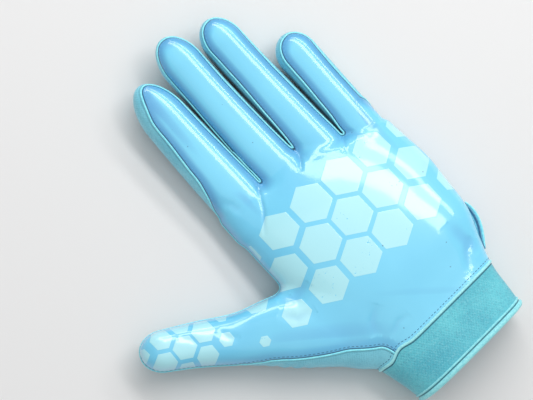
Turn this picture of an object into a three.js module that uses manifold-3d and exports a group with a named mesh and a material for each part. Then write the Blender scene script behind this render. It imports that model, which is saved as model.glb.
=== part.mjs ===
// A football receiver glove for the left hand, lying on its back with the palm up.
// Units are millimetres. +X points to the little finger, +Y to the fingertips and +Z up out of the palm.
// The glove is a thin wall between an outer and an inner form. Both are lofts through the same
// sections, joined, and the wall is then cut along the seams into the sewn pieces.
import * as THREE from "three";
import { mergeVertices } from "three/addons/utils/BufferGeometryUtils.js";
import Module from "manifold-3d";

const wasm = await Module();
wasm.setup();

// Cloth and seams
const CLOTH = 1.5;
const CUFF_CLOTH = 2.2;
const SEAM_GAP = 0.3;

// Wrist and cuff
const MOUTH_WIDTH = 69.6;
const MOUTH_HEIGHT = 33;
const MOUTH_X = -3.5;
const WRIST_WIDTH = 77.5;
const WRIST_HEIGHT = 30;
const WRIST_X = -4.8;
const CUFF_LENGTH = 27.2;
const CUFF_SKEW = 0.055;

// Palm
const PALM_LENGTH = 104;
const PALM_HEIGHT = 33;
const WEB_HEIGHT = 18;
const WEB_BOW = 3.6;
const KNUCKLE_X = -5;
const KNUCKLE_SKEW = -0.19;
const BACK_SINK = 4;

// Fingers: reach is measured from the web between the fingers, and the gap is the space between two roots.
const INDEX_REACH = 72;
const MIDDLE_REACH = 87;
const RING_REACH = 84;
const LITTLE_REACH = 57.5;
const INDEX_WIDTH = 26;
const MIDDLE_WIDTH = 23.2;
const RING_WIDTH = 23;
const LITTLE_WIDTH = 21.4;
const FINGER_HEIGHT = 20;
const FINGER_GAP = 0.7;
const FINGER_CURL = 8;
const FINGER_SINK = 0.8;
const FINGER_ROOT = 26;
const ROOT_NARROWING = 0.35;

// Thumb
const THUMB_ROOT_X = -36.2;
const THUMB_ROOT_Y = 46.9;
const THUMB_LENGTH = 113;
const THUMB_WIDTH = 24;
const THUMB_HEIGHT = 21;
const THUMB_ANGLE = 145.8;
const THUMB_BEND = 5;
const THUMB_CURL = 6;

// Seams: how far up and down the side of a digit the palm and back panels reach, as shares of its half height
const PALM_SEAM = 0.62;
const BACK_SEAM = -0.55;
const THUMB_PALM_SEAM = 0.15;
const WRIST_SEAM_HEIGHT = 26;
const EDGE_STRIP_START = 10;
const EDGE_STRIP_TAPER = 14;

// Trim
const PIPING_WIDTH = 1.8;
const PIPING_PROUD = 0.5;
const BINDING_DEPTH = 3.6;
const BINDING_PROUD = 0.5;
const TAB_LENGTH = 24;
const TAB_PROUD = 4;
const TAB_THICKNESS = 2;
const TAB_ALONG = 0.21;
const TAB_HEIGHT = 12;
const TAB_ROOT = 6;

// Facets
const HAND_SIDES = 28;
const DIGIT_SIDES = 16;
const TAB_SIDES = 24;
const FAR = 400;

const UP = new THREE.Vector3(0, 0, 1);
const { clamp, degToRad, lerp } = THREE.MathUtils;

// Shares run from the cuff seam, 0, to the web between the fingers, 1. left and right run from the wrist's
// edge, 0, to the knuckles' edge, 1, and top is a share of the palm's height above the floor.
const palmSections = [
  { along: 0.12, left: 0.32, right: 0.41, top: 0.94 },
  { along: 0.28, left: 0.64, right: 1.0, top: 1.0 },
  { along: 0.46, left: 0.9, right: 1.22, top: 1.0 },
  { along: 0.64, left: 1.0, right: 1.36, top: 0.94 },
  { along: 0.8, left: 0.98, right: 1.22, top: 0.81 },
  { along: 0.91, left: 0.92, right: 1.05, top: 0.68 },
];

// height and lean are shares of the fingers' height, and tip is the round end's share of the finger's width.
const fingerRows = [
  { name: "index", reach: INDEX_REACH, width: INDEX_WIDTH, height: 1.025, taper: 0.16, lean: -0.06, tip: 0.8 },
  { name: "middle", reach: MIDDLE_REACH, width: MIDDLE_WIDTH, height: 1, taper: 0.08, lean: -0.12, tip: 0.75 },
  { name: "ring", reach: RING_REACH, width: RING_WIDTH, height: 1, taper: 0.12, lean: -0.15, tip: 0.65 },
  { name: "little", reach: LITTLE_REACH, width: LITTLE_WIDTH, height: 0.975, taper: 0.04, lean: -0.02, tip: 0.6 },
];

// Shares run from the thumb's root, 0, to its tip, 1. outside is the side to the wrist and inside the side
// to the index finger, both as shares of half the thumb's width, and height is a share of its height.
const thumbSections = [
  { along: -0.1, outside: 1.1, inside: 1.1, height: 1.1 },
  { along: 0.0, outside: 1.66, inside: 1.6, height: 1.26 },
  { along: 0.12, outside: 1.57, inside: 1.75, height: 1.3 },
  { along: 0.34, outside: 1.39, inside: 1.7, height: 1.2 },
  { along: 0.42, outside: 1.24, inside: 1.5, height: 1.12 },
  { along: 0.54, outside: 1.08, inside: 1.14, height: 1.02 },
  { along: 0.74, outside: 0.92, inside: 0.96, height: 1.0 },
  { along: 0.89, outside: 0.9, inside: 0.82, height: 0.97 },
];

// The palm seam along the thumb's two sides: 1 is its height at the wrist, 0 its level on the fingers and
// the palm's body, and -1 its level on the thumb. The back seam stays at its level.
const thumbSeams = [
  { along: -1, outside: 1, inside: 0.7 },
  { along: -0.1, outside: 0.95, inside: 0.7 },
  { along: 0.1, outside: 0.88, inside: 0.35 },
  { along: 0.2, outside: 0.77, inside: 0.15 },
  { along: 0.3, outside: 0.63, inside: 0 },
  { along: 0.42, outside: 0.39, inside: 0 },
  { along: 0.5, outside: 0.1, inside: -0.25 },
  { along: 0.62, outside: -1, inside: -1 },
  { along: 0.8, outside: -1, inside: -1 },
  { along: 1.0, outside: -1, inside: -1 },
  { along: 1.2, outside: -1, inside: -1 },
];

function geometryOf(solid) {
  const mesh = solid.getMesh();
  const position = new Float32Array(mesh.numVert * 3);
  for (let i = 0; i < mesh.numVert; i++) {
    const at = i * mesh.numProp;
    position.set(mesh.vertProperties.subarray(at, at + 3), i * 3);
  }
  const geometry = new THREE.BufferGeometry();
  geometry.setAttribute("position", new THREE.BufferAttribute(position, 3));
  geometry.setIndex(new THREE.BufferAttribute(mesh.triVerts, 1));
  geometry.computeVertexNormals();
  return geometry;
}

function solidOf(geometry, matrix = new THREE.Matrix4()) {
  const bare = new THREE.BufferGeometry();
  bare.setAttribute("position", geometry.getAttribute("position").clone());
  if (geometry.index) bare.setIndex(geometry.index);
  bare.applyMatrix4(matrix);
  const merged = mergeVertices(bare, 1e-4);
  return new wasm.Manifold(
    new wasm.Mesh({
      numProp: 3,
      vertProperties: merged.getAttribute("position").array,
      triVerts: new Uint32Array(merged.index.array),
    }),
  );
}

function join(solids) {
  return solids.reduce((all, next) => all.add(next));
}

// The part of a solid on the side of a plane that its direction points to.
function keep(solid, direction, through, past) {
  const start = direction.dot(through);
  return solid.trimByPlane(direction.toArray(), start + past);
}

// A closed solid through rings of points that all run clockwise as seen from the last ring.
function loft(rings) {
  const sides = rings[0].length;
  const points = rings.flat();
  const index = [];
  for (let ring = 0; ring < rings.length - 1; ring++) {
    for (let side = 0; side < sides; side++) {
      const a = ring * sides + side;
      const b = ring * sides + ((side + 1) % sides);
      index.push(a, b, b + sides, a, b + sides, a + sides);
    }
  }
  for (const [ring, turned] of [[0, true], [rings.length - 1, false]]) {
    const middle = new THREE.Vector3();
    rings[ring].forEach((point) => middle.addScaledVector(point, 1 / sides));
    const centre = points.push(middle) - 1;
    for (let side = 0; side < sides; side++) {
      const a = ring * sides + side;
      const b = ring * sides + ((side + 1) % sides);
      index.push(...(turned ? [b, a, centre] : [a, b, centre]));
    }
  }
  const geometry = new THREE.BufferGeometry().setFromPoints(points);
  geometry.setIndex(index);
  return solidOf(geometry);
}

// A rounded section: a superellipse with its own reach to each side.
function ringAt({ centre, across, left, right, high, squareness }, sides) {
  const ring = [];
  for (let side = 0; side < sides; side++) {
    const turn = (2 * Math.PI * (side + 0.5)) / sides;
    const wide = Math.sign(Math.cos(turn)) * Math.abs(Math.cos(turn)) ** (2 / squareness);
    const up = Math.sign(Math.sin(turn)) * Math.abs(Math.sin(turn)) ** (2 / squareness);
    const point = centre.clone();
    point.addScaledVector(across, wide > 0 ? wide * right : wide * left);
    point.addScaledVector(UP, up * high);
    ring.push(point);
  }
  return ring.reverse();
}

function tableAt(rows, along, column) {
  const next = rows.findIndex((row) => row.along >= along);
  if (next === 0) return rows[0][column];
  if (next < 0) return rows[rows.length - 1][column];
  const [a, b] = [rows[next - 1], rows[next]];
  return lerp(a[column], b[column], (along - a.along) / (b.along - a.along));
}

// The hand's body

const PALM_SQUARENESS = 2.3;
const WEB_SLOPE_DEPTH = 4;
const WEB_SLOPE_RISE = 2;
const gaps = (fingerRows.length - 1) * FINGER_GAP;
const knuckleWidth = fingerRows.reduce((sum, finger) => sum + finger.width, gaps);
const knuckleLeft = KNUCKLE_X - knuckleWidth / 2;
const knuckleRight = KNUCKLE_X + knuckleWidth / 2;
const wristLeft = WRIST_X - WRIST_WIDTH / 2;
const wristRight = WRIST_X + WRIST_WIDTH / 2;
const webY = CUFF_LENGTH + PALM_LENGTH;

function webYAt(x) {
  return webY + KNUCKLE_SKEW * x;
}

// bow moves a ring's middle towards the fingertips and fades out to its ends.
function bodyRing({ y, skew, left, right, top, bottom, bow = 0 }, inset) {
  const middle = (left + right) / 2;
  const half = (right - left) / 2 - inset;
  const section = {
    centre: new THREE.Vector3(middle, y + skew * middle, (top + bottom) / 2),
    across: new THREE.Vector3(1, skew, 0),
    left: half,
    right: half,
    high: (top - bottom) / 2 - inset,
    squareness: PALM_SQUARENESS,
  };
  const ring = ringAt(section, HAND_SIDES);
  for (const point of ring) {
    const share = clamp((2 * (point.x - middle)) / half, -1, 1);
    point.y += (bow * (1 + Math.cos(Math.PI * share))) / 2;
  }
  return ring;
}

function wristRow(y) {
  const back = (CUFF_LENGTH - y) / CUFF_LENGTH;
  const x = lerp(WRIST_X, MOUTH_X, back);
  const half = lerp(WRIST_WIDTH, MOUTH_WIDTH, back) / 2;
  const top = lerp(WRIST_HEIGHT, MOUTH_HEIGHT, back);
  return { y, skew: CUFF_SKEW, left: x - half, right: x + half, top, bottom: -BACK_SINK };
}

function palmRow({ along, left, right, top }) {
  return {
    y: CUFF_LENGTH + along * PALM_LENGTH,
    skew: lerp(CUFF_SKEW, KNUCKLE_SKEW, along),
    left: lerp(wristLeft, knuckleLeft, left),
    right: lerp(wristRight, knuckleRight, right),
    top: top * PALM_HEIGHT,
    bottom: -BACK_SINK,
  };
}

// The palm closes in on the web in two steps, and the inner form stops one cloth short of it.
function palmRows(inset) {
  const rows = palmSections.map(palmRow);
  const last = { ...rows[rows.length - 1], skew: KNUCKLE_SKEW, bow: WEB_BOW };
  const slope = { ...last, y: webY - WEB_SLOPE_DEPTH, top: WEB_HEIGHT + WEB_SLOPE_RISE, bottom: 0 };
  const web = { ...last, y: webY - inset, top: WEB_HEIGHT, bottom: WEB_SLOPE_RISE };
  return [...rows, slope, web];
}

function handBody(cuffInset, palmInset, mouthY) {
  const wrist = [mouthY, CUFF_LENGTH / 2, CUFF_LENGTH].map(wristRow);
  const cuffRings = wrist.map((row) => bodyRing(row, cuffInset));
  const palmRings = palmRows(palmInset).map((row) => bodyRing(row, palmInset));
  return loft([...cuffRings, ...palmRings]);
}

// Digits

const DIGIT_SQUARENESS = 2.5;
const TIP_FLATTEN = 0.08;
const capSteps = [0.4, 0.7, 0.9, 0.985];

// Each finger's middle follows from the widths and gaps before it.
const fingers = fingerRows.map((row, i) => {
  const before = fingerRows.slice(0, i).reduce((sum, other) => sum + other.width + FINGER_GAP, 0);
  return {
    ...row,
    x: knuckleLeft + before + row.width / 2,
    height: row.height * FINGER_HEIGHT,
    lean: row.lean * FINGER_HEIGHT,
    tip: row.tip * row.width,
  };
});
const longestReach = Math.max(...fingers.map((finger) => finger.reach));

// The height of a finger's axis at a distance past the web: fingers lie flat and then curl up.
function fingerAxisHeight(past, height) {
  return height / 2 - FINGER_SINK + FINGER_CURL * (Math.max(past, 0) / longestReach) ** 2;
}

function fingerSection(finger, past, inset) {
  const share = clamp(past / finger.reach, 0, 1);
  const root = 1 - ROOT_NARROWING * clamp(-past / FINGER_ROOT, 0, 1);
  const half = (finger.width / 2) * root * (1 - finger.taper * share ** 2) - inset;
  return {
    centre: new THREE.Vector3(
      finger.x + finger.lean * share,
      webYAt(finger.x) + past,
      fingerAxisHeight(past, finger.height),
    ),
    across: new THREE.Vector3(1, 0, 0),
    left: half,
    right: half,
    high: (finger.height / 2) * root * (1 - TIP_FLATTEN * share) - inset,
    squareness: DIGIT_SQUARENESS,
  };
}

function thumbAxis(share) {
  const angle = degToRad(THUMB_ANGLE + (THUMB_BEND * (share - 1)) / 2);
  const turn = degToRad(THUMB_ANGLE + THUMB_BEND * (share - 0.5));
  return {
    x: THUMB_ROOT_X + share * THUMB_LENGTH * Math.cos(angle),
    y: THUMB_ROOT_Y + share * THUMB_LENGTH * Math.sin(angle),
    inward: new THREE.Vector3(Math.sin(turn), -Math.cos(turn), 0),
  };
}

function thumbRise(share) {
  return THUMB_CURL * Math.max(share, 0) ** 2 - FINGER_SINK;
}

function thumbSection(share, inset) {
  const { x, y, inward } = thumbAxis(share);
  const high = (THUMB_HEIGHT / 2) * tableAt(thumbSections, share, "height");
  return {
    centre: new THREE.Vector3(x, y, high + thumbRise(share)),
    across: inward,
    left: (THUMB_WIDTH / 2) * tableAt(thumbSections, share, "outside") - inset,
    right: (THUMB_WIDTH / 2) * tableAt(thumbSections, share, "inside") - inset,
    high: high - inset,
    squareness: DIGIT_SQUARENESS,
  };
}

// A digit's rings and its round tip, a quarter of an ellipse. place gives the section at a distance.
function digitForm(stations, length, tip, place, inset) {
  const end = length - tip;
  const straight = [...stations, end].map((at) => ringAt(place(at), DIGIT_SIDES));
  const cap = capSteps.map((step) => {
    const section = place(end);
    const shrink = Math.sqrt(1 - step ** 2);
    section.centre = place(end + step * (tip - inset)).centre;
    for (const way of ["left", "right", "high"]) section[way] *= shrink;
    return ringAt(section, DIGIT_SIDES);
  });
  return loft([...straight, ...cap]);
}

function fingerForm(finger, inset) {
  const end = finger.reach - finger.tip;
  const stations = [-FINGER_ROOT, 0, 0.3 * end, 0.65 * end];
  const place = (past) => fingerSection(finger, past, inset);
  return digitForm(stations, finger.reach, finger.tip, place, inset);
}

function thumbForm(inset) {
  const stations = thumbSections.map((row) => row.along * THUMB_LENGTH);
  const place = (distance) => thumbSection(distance / THUMB_LENGTH, inset);
  const tip = THUMB_LENGTH - stations.pop();
  return digitForm(stations, THUMB_LENGTH, tip, place, inset);
}

// Seam knives

// A frame in plan with its first axis along an angle and its second up. Its third axis is 'across'.
function planFrame(x, y, angle) {
  const forward = new THREE.Vector3(Math.cos(angle), Math.sin(angle), 0);
  const across = new THREE.Vector3().crossVectors(forward, UP);
  return new THREE.Matrix4().makeBasis(forward, UP, across).setPosition(x, y, 0);
}

// Everything above a seam as a block: rows are [distance along the frame, height], moved off the seam
// at right angles to it, and the block reaches across the frame from one place to another.
function blockAbove(rows, offset, frame, from, to) {
  const shape = new THREE.Shape();
  shape.moveTo(rows[0][0], FAR);
  rows.forEach(([distance, height], i) => {
    const [a, b] = [rows[Math.max(i - 1, 0)], rows[Math.min(i + 1, rows.length - 1)]];
    const slope = (b[1] - a[1]) / (b[0] - a[0]);
    shape.lineTo(distance, height + offset * Math.hypot(1, slope));
  });
  shape.lineTo(rows[rows.length - 1][0], FAR);
  const block = new THREE.ExtrudeGeometry(shape, { depth: to - from, bevelEnabled: false });
  block.translate(0, 0, from);
  return solidOf(block, frame);
}

const seamHeight = fingers[1].height;
const fingerFrame = planFrame(0, webY, Math.PI / 2 + Math.atan(KNUCKLE_SKEW));
const thumbFrame = planFrame(THUMB_ROOT_X, THUMB_ROOT_Y, degToRad(THUMB_ANGLE));
const thumbRoot = new THREE.Vector3(THUMB_ROOT_X, THUMB_ROOT_Y, 0);
const thumbInward = thumbAxis(0.5).inward;
const THUMB_SIDE = 18;
const KNIFE_OVERLAP = 0.5;
const profileShares = [0, 0.2, 0.4, 0.6, 0.8, 1, 1.2];

function levelAt(past, share) {
  return fingerAxisHeight(past, seamHeight) + (share * seamHeight) / 2;
}

function fingerProfile(share) {
  const pasts = [-FAR, ...profileShares.map((at) => at * longestReach)];
  return pasts.map((past) => [past, levelAt(past, share)]);
}

// On the little finger's side the palm panel wraps round to the back, below where the side strip starts.
function edgeProfile() {
  const end = EDGE_STRIP_START - EDGE_STRIP_TAPER;
  const low = [-FAR, end].map((past) => [past, levelAt(past, BACK_SEAM)]);
  const start = [EDGE_STRIP_START, levelAt(EDGE_STRIP_START, PALM_SEAM)];
  return [...low, start, ...fingerProfile(PALM_SEAM).slice(3)];
}

function thumbPalmProfile(side) {
  const body = levelAt(0, PALM_SEAM);
  return thumbSeams.map((row) => {
    const level = row[side];
    const onThumb = (THUMB_HEIGHT / 2) * (1 + THUMB_PALM_SEAM) + thumbRise(row.along);
    const height = level > 0 ? lerp(body, WRIST_SEAM_HEIGHT, level) : lerp(body, onThumb, -level);
    return [row.along * THUMB_LENGTH, height];
  });
}

function thumbBackProfile() {
  const body = levelAt(0, BACK_SEAM);
  return thumbSeams.map(({ along }) => [along * THUMB_LENGTH, body + thumbRise(along) + FINGER_SINK]);
}

// The glove's thumb side follows the thumb's seams, its little finger's side the edge's seam, and the
// rest the fingers' seams.
function aboveSeam({ outside, inside, middle, edge }, offset) {
  const outer = blockAbove(outside, offset, thumbFrame, -FAR, 0);
  const inner = blockAbove(inside, offset, thumbFrame, -KNIFE_OVERLAP, THUMB_SIDE);
  const hand = blockAbove(middle, offset, fingerFrame, -FAR, fingers[3].x + KNIFE_OVERLAP);
  const little = blockAbove(edge, offset, fingerFrame, fingers[3].x, FAR);
  const rest = keep(hand.add(little), thumbInward, thumbRoot, THUMB_SIDE - KNIFE_OVERLAP);
  return join([outer, inner, rest]);
}

function abovePalmSeam(offset) {
  const [outside, inside] = ["outside", "inside"].map(thumbPalmProfile);
  return aboveSeam({ outside, inside, middle: fingerProfile(PALM_SEAM), edge: edgeProfile() }, offset);
}

function aboveBackSeam(offset) {
  const [thumb, finger] = [thumbBackProfile(), fingerProfile(BACK_SEAM)];
  return aboveSeam({ outside: thumb, inside: thumb, middle: finger, edge: finger }, offset);
}

// The wall, and the planes that cut the cuff from the hand

const half = SEAM_GAP / 2;
const digitForms = (inset) => [thumbForm(inset), ...fingers.map((finger) => fingerForm(finger, inset))];
const outer = keep(join([handBody(0, 0, 0), ...digitForms(0)]), UP, new THREE.Vector3(), 0);
const hollow = join([handBody(CUFF_CLOTH, CLOTH, -CUFF_CLOTH), ...digitForms(CLOTH)]);
const inner = keep(hollow, UP, new THREE.Vector3(), CLOTH);
const wall = outer.subtract(inner);

const toHand = new THREE.Vector3(-CUFF_SKEW, 1, 0).normalize();
const toWrist = toHand.clone().negate();
const cuffSeam = new THREE.Vector3(0, CUFF_LENGTH, 0);
const mouth = new THREE.Vector3();
const hand = keep(wall, toHand, cuffSeam, PIPING_WIDTH / 2 + half);
const sleeve = keep(wall, toWrist, cuffSeam, PIPING_WIDTH / 2 + half);
const cuff = keep(sleeve, toHand, mouth, BINDING_DEPTH + half);

// A ring round the wrist that stands proud of the cloth, from one plane to another.
function band(proud, start, startPast, end, endPast) {
  const grown = handBody(-proud, 0, 0);
  const ring = keep(grown, UP, new THREE.Vector3(), 0).subtract(inner);
  return keep(keep(ring, toHand, start, startPast), toWrist, end, endPast);
}

const piping = band(PIPING_PROUD, cuffSeam, half - PIPING_WIDTH / 2, cuffSeam, half - PIPING_WIDTH / 2);
const binding = band(BINDING_PROUD, mouth, 0, mouth, half - BINDING_DEPTH);

const palm = hand.intersect(abovePalmSeam(half));
const back = hand.subtract(aboveBackSeam(-half));
const sides = hand.subtract(abovePalmSeam(-half)).intersect(aboveBackSeam(half));

// The side strips part at the tip of each digit.
const RIGHT = new THREE.Vector3(1, 0, 0);
const LEFT = RIGHT.clone().negate();
const thumbOutward = thumbInward.clone().negate();
const tips = fingers.map((finger) => new THREE.Vector3(finger.x + finger.lean, 0, 0));

const gusset = keep(sides, thumbOutward, thumbRoot, half);
const fingerSides = keep(sides, thumbInward, thumbRoot, half);
const thumbStrip = keep(fingerSides, LEFT, tips[0], half);
const littleStrip = keep(fingerSides, RIGHT, tips[3], half);

function stripBetween(a, b) {
  return keep(keep(fingerSides, RIGHT, tips[a], half), LEFT, tips[b], half);
}

// The tab is a flat oval whose inner half is hidden in the edge of the palm.
function sideTab() {
  const row = palmSections[0];
  const next = palmSections[1];
  const [a, b] = [row, next].map(palmRow);
  const share = (TAB_ALONG - row.along) / (next.along - row.along);
  const x = lerp(a.right, b.right, share);
  const y = lerp(a.y + a.skew * a.right, b.y + b.skew * b.right, share);
  const run = new THREE.Vector2(b.right - a.right, b.y - a.y);
  const shape = new THREE.Shape();
  shape.absellipse(0, 0, TAB_LENGTH / 2, TAB_ROOT + TAB_PROUD, 0, 2 * Math.PI, false, 0);
  const settings = { depth: TAB_THICKNESS, bevelEnabled: false, curveSegments: TAB_SIDES };
  const plate = new THREE.ExtrudeGeometry(shape, settings);
  const turn = new THREE.Matrix4().makeRotationZ(run.angle());
  const inward = new THREE.Vector3(-TAB_ROOT, 0, 0).applyAxisAngle(UP, run.angle() - Math.PI / 2);
  turn.setPosition(x + inward.x, y + inward.y, TAB_HEIGHT - TAB_THICKNESS / 2);
  const oval = solidOf(plate, turn).subtract(handBody(-PIPING_PROUD, -SEAM_GAP, 0));
  const parts = oval.decompose();
  return parts.reduce((best, part) => (part.boundingBox().max[0] > best.boundingBox().max[0] ? part : best));
}

const SKY = 0x8fd4fb;
const TEAL = 0x6fc6d8;
const AQUA = 0x9fe3ee;
const pieces = [
  { name: "palm_panel", solid: palm, colour: SKY, roughness: 0.16 },
  { name: "back_panel", solid: back, colour: TEAL, roughness: 0.8 },
  { name: "thumb_gusset", solid: gusset, colour: TEAL, roughness: 0.75 },
  { name: "fourchette_thumb_index", solid: thumbStrip, colour: TEAL, roughness: 0.75 },
  { name: "fourchette_index_middle", solid: stripBetween(0, 1), colour: TEAL, roughness: 0.75 },
  { name: "fourchette_middle_ring", solid: stripBetween(1, 2), colour: TEAL, roughness: 0.75 },
  { name: "fourchette_ring_little", solid: stripBetween(2, 3), colour: TEAL, roughness: 0.75 },
  { name: "side_strip_little", solid: littleStrip, colour: TEAL, roughness: 0.75 },
  { name: "cuff", solid: cuff, colour: TEAL, roughness: 0.85 },
  { name: "cuff_binding", solid: binding, colour: AQUA, roughness: 0.7 },
  { name: "cuff_seam", solid: piping, colour: AQUA, roughness: 0.6 },
  { name: "side_tab", solid: sideTab(), colour: TEAL, roughness: 0.6 },
];

const glove = new THREE.Group();
for (const { name, solid, colour, roughness } of pieces) {
  const material = new THREE.MeshStandardMaterial({ color: colour, roughness, metalness: 0 });
  const mesh = new THREE.Mesh(geometryOf(solid), material);
  mesh.name = name;
  glove.add(mesh);
}

// The origin is below the middle of the glove, on the floor.
const box = new THREE.Box3().setFromObject(glove);
glove.position.set(-(box.min.x + box.max.x) / 2, -(box.min.y + box.max.y) / 2, -box.min.z);
glove.updateMatrixWorld(true);
export default glove;
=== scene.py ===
"""A football receiver glove, left hand, lying palm up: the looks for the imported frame."""
import math

import bpy
import numpy as np
from mathutils import Matrix, Vector


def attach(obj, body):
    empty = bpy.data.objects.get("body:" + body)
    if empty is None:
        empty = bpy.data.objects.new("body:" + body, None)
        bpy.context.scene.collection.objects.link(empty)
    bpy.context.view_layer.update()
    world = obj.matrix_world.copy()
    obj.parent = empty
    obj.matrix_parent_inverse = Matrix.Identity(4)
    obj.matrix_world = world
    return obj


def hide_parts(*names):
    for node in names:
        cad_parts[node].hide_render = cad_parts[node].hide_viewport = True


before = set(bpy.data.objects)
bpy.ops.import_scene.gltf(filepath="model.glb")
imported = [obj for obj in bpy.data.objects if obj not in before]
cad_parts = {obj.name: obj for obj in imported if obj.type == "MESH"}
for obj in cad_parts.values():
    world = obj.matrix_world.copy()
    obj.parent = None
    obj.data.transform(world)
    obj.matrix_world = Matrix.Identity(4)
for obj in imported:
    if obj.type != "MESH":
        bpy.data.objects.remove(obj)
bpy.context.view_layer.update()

MM = 0.001
PER_METRE = 1000.0
# The model's own frame has its zero at the middle of the cuff's mouth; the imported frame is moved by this.
SHIFT = np.array([42.6459, -109.2901, 0.0])
# The grid that the skin is drawn from: its step and its corners in millimetres, how often the skin is
# evened out, and how many points are worked out at once
GRID = 1.0
NET_LOW, NET_HIGH = (-136.0, -8.0, -2.0), (52.0, 226.0, 36.0)
RELAX_ROUNDS = 4
CHUNK = 400000

# Sizes in millimetres
CUFF_LENGTH = 27.2
PALM_LENGTH = 104.0
CUFF_SKEW = 0.055
MOUTH_DRAW = 1.1
KNUCKLE_SKEW = -0.19
WEB_Y = CUFF_LENGTH + PALM_LENGTH
WEB_BOW = 3.6
FINGER_CURL = 8.0
LONGEST_REACH = 87.0
SEAM_LEVEL_Z = 9.2
SEAM_HALF_HEIGHT = 10.0
BACK_SEAM = -0.55
WRIST_SEAM_Z = 26.0
BACK_SEAM_Z = SEAM_LEVEL_Z + BACK_SEAM * SEAM_HALF_HEIGHT
EDGE_STRIP_START = 10.0
EDGE_STRIP_TAPER = 14.0
FINE_STITCHES_FROM = 70.0
SHELL = 1.3
CUFF_SHELL = 2.0
FLOOR_CLEARANCE = 0.02

THUMB_ROOT = np.array([-36.2, 46.9])
THUMB_LENGTH = 113.0
THUMB_WIDTH = 24.0
THUMB_HEIGHT = 21.0
THUMB_ANGLE = math.radians(145.8)
THUMB_BEND = math.radians(5)
THUMB_CURL = 6.0

# The index, middle, ring and little finger. closer is how much fuller the root of a finger is on the
# thumb's side and on the other side, in parts of ROOT_SWELL.
FINGERS = [
    dict(x=-39.85, reach=72.0, width=26.0, height=20.5, taper=0.16, lean=-1.2, tip=20.8, closer=(0, 1)),
    dict(x=-14.55, reach=87.0, width=23.2, height=20.0, taper=0.08, lean=-2.4, tip=17.4, closer=(1, 1.4)),
    dict(x=9.25, reach=84.0, width=23.0, height=20.0, taper=0.12, lean=-3.0, tip=15.0, closer=(1.4, 1)),
    dict(x=32.15, reach=57.5, width=21.4, height=19.5, taper=0.04, lean=-0.4, tip=12.8, closer=(1, 0)),
]
FINGER_GAP = 0.7
ROOT_SWELL = 0.085
ROOT_SWELL_REACH = 52.0
GAP_LEAN = -2.4

# Shapes of the digits and the palm: how square they are, where they start and end, and how round there
SKEW_ROUNDS = 3
DIGIT_SINK = 0.8
HEIGHT_TAPER = 0.08
DIGIT_POWER = 2.5
PRESS_START, PRESS_RISE = -4.0, 6.0
FINGER_START, FINGER_START_ROUND = -18.0, 8.0
THUMB_START, THUMB_START_ROUND = -0.02, 12.0
WEB_BOW_X, WEB_BOW_HALF_WIDTH = -4.5, 24.0
PALM_END, PALM_END_ROUND = 9.0, 8.0
PALM_POWER = 2.3
FLATTER_LEAST, FLATTER_MORE, FLATTER_BLEND = 0.5, 0.9, 20.0
FLATTER_FROM, FLATTER_RISE = 16.0, 14.0
FLATTER_TO, FLATTER_FALL = 85.0, 30.0

# How softly the digits run into the palm and into each other, and the whole into the floor side
FINGER_BLEND = 6.0
THUMB_BLEND = 9.0
DIGIT_BLEND = 0.6
FLOOR_BLEND = 1.2

# How softly a seam changes its height from one side of a digit to the other
FINGER_SIDES_BLEND = 8.0
SLIT_BLEND = 1.2
THUMB_SIDES_BLEND = 12.0
THUMB_SEAM_INWARD, THUMB_SEAM_BLEND = 19.0, 8.0

# The wrist seam is pulled along the hand: how far, where across the hand, and half how wide
CUFF_PULLS = [(1.7, -31.5, 5.0), (-0.9, -38.5, 3.0)]
CUFF_PULL_Z, CUFF_PULL_RISE = 14.0, 6.0
MOUTH_DRAW_TOP, MOUTH_DRAW_BOTTOM = 30.0, 14.0

# Guards for divisions: the shortest vector, and the least slope of a seam function along the surface
TINY = 1e-6
LEAST_SLOPE = 0.15

# Sections of the cuff and the palm, in millimetres from the mouth of the cuff
BODY_ROWS = np.array([
    # along, left, right, top, bottom
    (-14.0, -34.6, 30.0, 34.5, -4.0),
    (0.0, -37.0, 31.2, 33.0, -4.0),
    (13.6, -39.7, 32.5, 31.5, -4.0),
    (27.2, -43.3, 33.9, 30.0, -4.0),
    (39.7, -46.5, 37.6, 31.0, -4.0),
    (56.3, -49.5, 42.8, 33.0, -4.0),
    (75.0, -51.9, 44.8, 33.0, -4.0),
    (93.8, -52.8, 46.0, 31.0, -4.0),
    (110.4, -52.7, 44.8, 26.7, -4.0),
    (121.8, -52.1, 43.3, 22.4, -4.0),
    (131.2, -52.0, 43.0, 18.5, -1.0),
])

THUMB_ROWS = np.array([
    # share of the length, outside, inside, height: shares of half the width and of the height
    (-0.1, 1.1, 1.1, 1.1),
    (0.0, 1.66, 1.6, 1.26),
    (0.12, 1.57, 1.75, 1.3),
    (0.34, 1.39, 1.7, 1.2),
    (0.42, 1.24, 1.5, 1.12),
    (0.54, 1.08, 1.14, 1.02),
    (0.74, 0.92, 0.96, 1.0),
    (0.89, 0.9, 0.82, 0.97),
])
THUMB_TIP = 0.11

# The palm seam along the thumb: height in millimetres by share of the thumb's length
THUMB_SEAM_ROWS = np.array([
    # share of the thumb's length, on its outside, on its inside
    (-0.5, WRIST_SEAM_Z, 22.8),
    (-0.1, 25.4, 22.8),
    (0.1, 24.7, 18.0),
    (0.2, 23.6, 14.5),
    (0.3, 22.1, 12.5),
    (0.42, 19.5, 12.5),
    (0.5, 16.5, 13.0),
    (0.62, 13.6, 13.6),
    (0.8, 15.1, 14.5),
    (0.92, 15.0, 14.6),
    (1.0, 14.2, 14.2),
    (1.2, 14.0, 14.0),
])

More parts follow.
